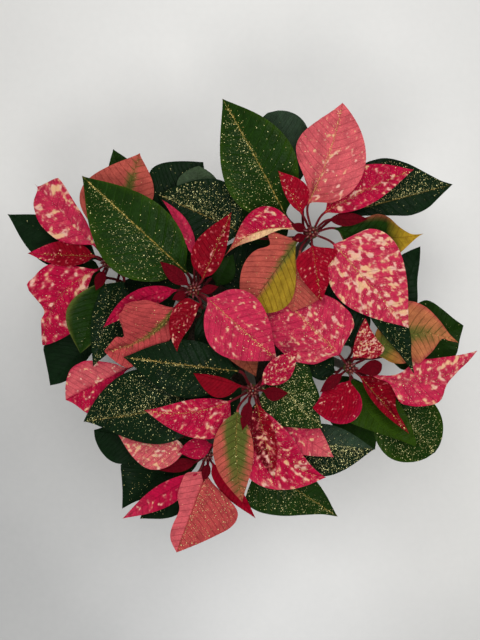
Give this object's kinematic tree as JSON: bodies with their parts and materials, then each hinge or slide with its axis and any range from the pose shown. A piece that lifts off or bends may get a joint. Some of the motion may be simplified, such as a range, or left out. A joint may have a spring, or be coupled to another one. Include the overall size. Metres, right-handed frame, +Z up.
{
  "type": "potted poinsettia",
  "caption": "Bushy potted poinsettia: pink, crimson and cream mottled bracts in whorls round small bud clusters, over dark green leaves on branching stems, in a plain brown nursery pot.",
  "frame": {"origin": "centre of the pot's flat base, on the surface that it stands on", "axes": "+Z up, +Y towards the top of the picture, which looks straight down, and +X to its right"},
  "size_m": [0.4212, 0.3972, 0.3184],
  "materials": {
    "pot": "satin",
    "soil": "matte",
    "stem": "matte",
    "bract": "satin",
    "cyathia": "satin",
    "leaf": "satin",
    "pink_leaf": "satin"
  },
  "bodies": {
    "root": {"pot": "pot", "soil": "soil", "stems": "stem", "bracts_A": "bract", "bracts_B": "bract", "bracts_C": "bract", "bracts_D": "bract", "bracts_E": "bract", "bracts_F": "bract", "cyathia_A": "cyathia", "cyathia_B": "cyathia", "cyathia_C": "cyathia", "cyathia_D": "cyathia", "cyathia_E": "cyathia", "cyathia_F": "cyathia", "leaf_G1": "leaf", "leaf_G2": "leaf", "leaf_G3": "leaf", "leaf_G4": "leaf", "leaf_G5": "leaf", "leaf_G6": "leaf", "leaf_G7": "leaf", "leaf_G8": "leaf", "leaf_G9": "leaf", "leaf_G10": "leaf", "leaf_G11": "leaf", "leaf_G12": "leaf", "leaf_G13": "leaf", "leaf_G14": "leaf", "leaf_G15": "leaf", "leaf_G16": "leaf", "leaf_G17": "leaf", "leaf_G18": "leaf", "leaf_G19": "leaf", "leaf_G20": "leaf", "leaf_G21": "leaf", "leaf_G22": "leaf", "leaf_G23": "leaf", "leaf_G24": "leaf", "leaf_G25": "leaf", "leaf_G26": "leaf", "leaf_G27": "leaf", "leaf_G28": "leaf", "leaf_G29": "leaf", "leaf_G30": "leaf", "leaf_G31": "leaf", "leaf_G32": "leaf", "leaf_P2": "pink_leaf", "leaf_H1": "leaf", "leaf_H2": "leaf", "leaf_H3": "leaf", "leaf_H4": "leaf", "leaf_H5": "leaf", "leaf_H6": "leaf", "leaf_H7": "leaf", "leaf_H8": "leaf", "leaf_H9": "leaf", "leaf_H10": "leaf", "leaf_H11": "leaf"}
  },
  "joints": []
}
